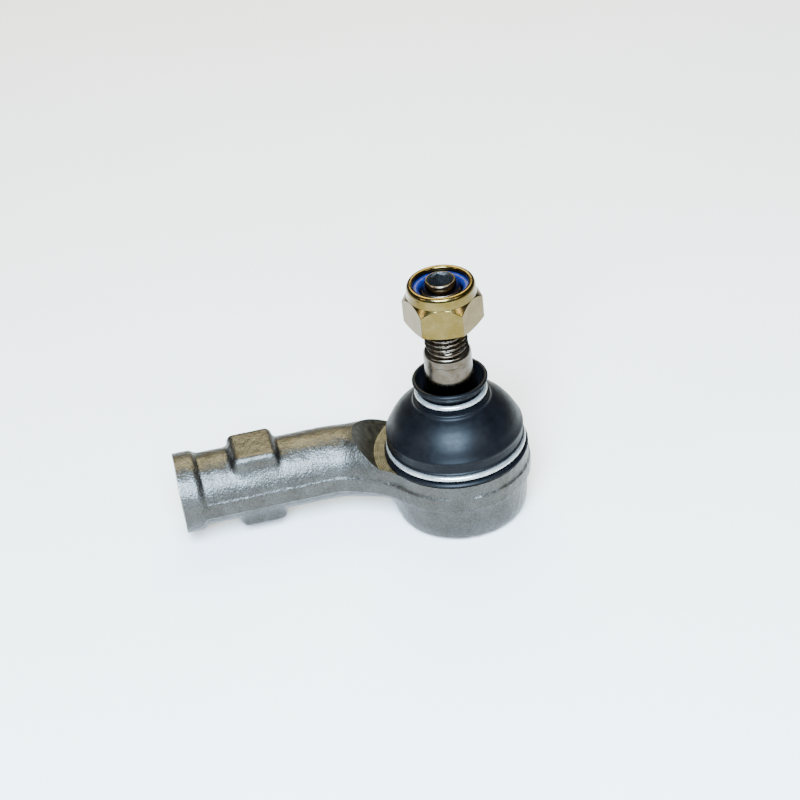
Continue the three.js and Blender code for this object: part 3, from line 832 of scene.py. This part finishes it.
def add_lower_shell():
    ball = arc(0, PIVOT_Z, 11.3, -0.8, -54.2, 24)
    return add_turned("lower_bearing", rounded(
        [(6.6, 3.9, 0.2), (11.6, 3.9, 0.4), (13.7, 6.2, 0.4), (13.7, 13.85, 0.2)] + ball, closed=True),
        [ACETAL], 120, closed=True)


def add_spring():
    return add_turned("preload_washer", rounded(
        [(13.2, 2.6, 0.05), (13.2, 2.9, 0.05), (7.6, 3.6, 0.05), (7.6, 3.2, 0.05)], closed=True),
        [SPRING], 120, closed=True)


# ---- assembly ----

def place(obj, body, node, slot):
    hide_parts(node)
    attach(obj, body)


place(add_housing(), "housing", "housing", "forged_steel")
place(add_shank_thread(), "housing", "housing", "forged_steel")
place(add_upper_shell(), "housing", "upper_bearing_shell", "acetal")
place(add_lower_shell(), "housing", "lower_bearing_shell", "acetal")
place(add_spring(), "housing", "preload_spring", "spring_steel")
place(add_cover(), "housing", "cover_plate", "cover_steel")
place(add_wire_ring("lower_ring_wire", 18.85, 22.5, 0.8, 1.6, 80), "housing", "boot_ring_lower", "ring_steel")
place(add_wire_ring("upper_ring_wire", 9.35, 39.4, 0.72, 1.2, 100), "stud_sway", "boot_ring_upper", "ring_steel")
place(add_stud(), "stud", "ball_stud", "polished_steel")
place(add_nut(), "nut", "nut", "zinc_plate")
place(add_insert(), "nut_carrier", "nut_insert", "blue_nylon")

boot_wall, boot_dome = add_boot()
for part in (boot_wall, boot_dome):
    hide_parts("boot")
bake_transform(boot_wall)
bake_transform(boot_dome)


# ---- camera ----

# The viewpoint, as angles and distances about a point on the stud axis.
CAMERA_AZ, CAMERA_EL, CAMERA_ROLL = map(math.radians, (-8.84, 35.21, -6.63))
CAMERA_AIM = Vector((0, 0, 30.0))
CAMERA_SIDE, CAMERA_RISE, CAMERA_DISTANCE = -14.88, 4.54, 569.0


def add_camera():
    az, el = CAMERA_AZ, CAMERA_EL
    back = Vector((math.sin(az) * math.cos(el), -math.cos(az) * math.cos(el), math.sin(el)))
    right = Vector((math.cos(az), math.sin(az), 0))
    up = back.cross(right)
    across = math.cos(CAMERA_ROLL) * right + math.sin(CAMERA_ROLL) * up
    upright = math.cos(CAMERA_ROLL) * up - math.sin(CAMERA_ROLL) * right
    where = CAMERA_AIM + CAMERA_SIDE * across + CAMERA_RISE * upright + CAMERA_DISTANCE * back
    data = bpy.data.cameras.new("camera")
    data.lens, data.sensor_width = 92.1, 36.0
    data.dof.use_dof = False
    camera = bpy.data.objects.new("camera", data)
    turn = Matrix((across, upright, back)).transposed().to_4x4()
    camera.matrix_world = Matrix.Translation(where * MM) @ turn
    bpy.context.scene.collection.objects.link(camera)
    bpy.context.scene.camera = camera


# ---- stage ----

def add_softbox(name, azimuth, elevation, distance, size, power, color):
    """Square light on a sphere round the part, facing it."""
    az, el = math.radians(azimuth), math.radians(elevation)
    back = Vector((math.sin(az) * math.cos(el), -math.cos(az) * math.cos(el), math.sin(el)))
    data = bpy.data.lights.new(name, "AREA")
    data.shape, data.size, data.energy, data.color = "SQUARE", size, power, color
    light = bpy.data.objects.new(name, data)
    light.location = Vector((-0.02, 0.0, 0.03)) + back * distance
    light.rotation_mode = "QUATERNION"
    light.rotation_quaternion = (-back).to_track_quat("-Z", "Y")
    bpy.context.scene.collection.objects.link(light)
    return light


def add_floor():
    f = Finish("floor_paper", metallic=0.0, specular=0.2)
    f.color(f.ramp(f.noise(60.0, 2.0), (0.3, (0.83, 0.755, 0.69)), (0.7, (0.85, 0.775, 0.71))))
    f.roughness(f.between(f.noise(2.0), 0.85, 0.95))
    half, drop = 3000.0, -0.4
    corners = [(-half, -half, drop), (half, -half, drop), (half, half, drop), (-half, half, drop)]
    return add_object("floor", corners, [(0, 1, 2, 3)], [f.material])


def add_world():
    world = bpy.data.worlds.new("studio")
    bpy.context.scene.world = world
    world.use_nodes = True
    background = world.node_tree.nodes["Background"]
    background.inputs["Color"].default_value = (0.95, 0.97, 1.0, 1.0)
    background.inputs["Strength"].default_value = 0.18


add_camera()
add_floor()
add_softbox("front_window", -14, 46, 0.75, 0.44, 60.0, (0.53, 0.755, 1.0))
add_softbox("overhead", 170, 55, 0.8, 0.5, 10.5, (1.0, 0.92, 0.54))
add_softbox("left_strip", -77, 28, 0.8, 0.16, 1.2, (1.0, 0.96, 0.86))
add_softbox("right_strip", 39, 33, 0.8, 0.16, 1.2, (1.0, 0.96, 0.86))
add_world()
